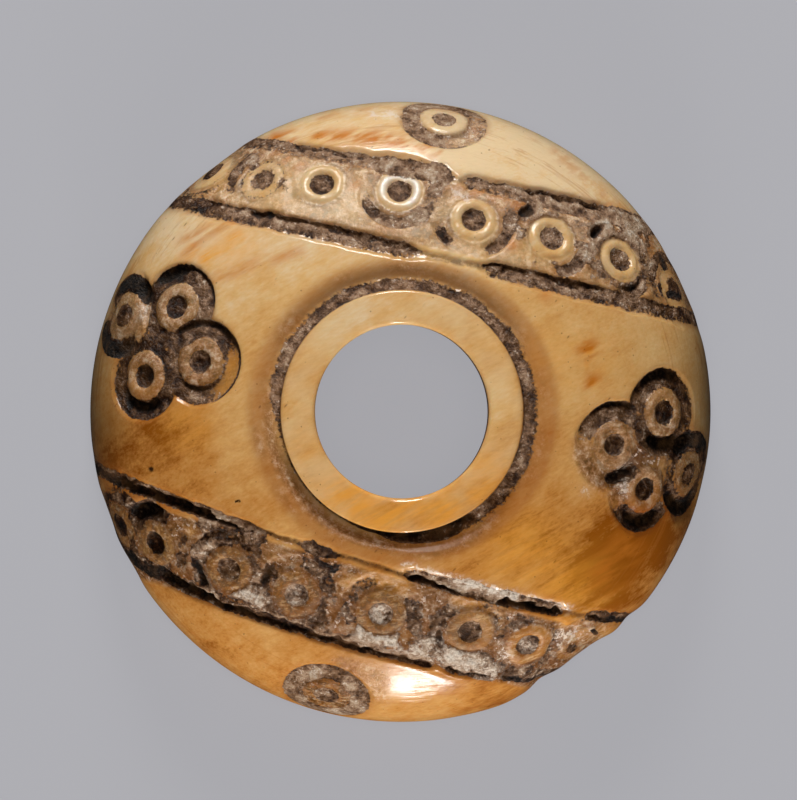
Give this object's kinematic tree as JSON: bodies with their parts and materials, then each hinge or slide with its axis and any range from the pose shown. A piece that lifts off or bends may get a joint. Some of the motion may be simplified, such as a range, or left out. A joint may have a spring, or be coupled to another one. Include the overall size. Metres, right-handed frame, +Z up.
{
  "type": "spindle whorl",
  "caption": "Bun-shaped turned bone spindle whorl with a shaft bore, raised collar and carved bands of ring-and-dot motifs.",
  "frame": {"origin": "on the axis of the shaft bore, in the plane of the flat underside", "axes": "+Z up the shaft, from the flat underside to the domed top; +X along the carved bands; +Y across them"},
  "size_m": [0.026, 0.026, 0.0084],
  "materials": {
    "bone": "polished old bone, cream to amber, slightly translucent, with dark soil crust in the carving"
  },
  "bodies": {
    "root": {"whorl": "bone"}
  },
  "joints": []
}
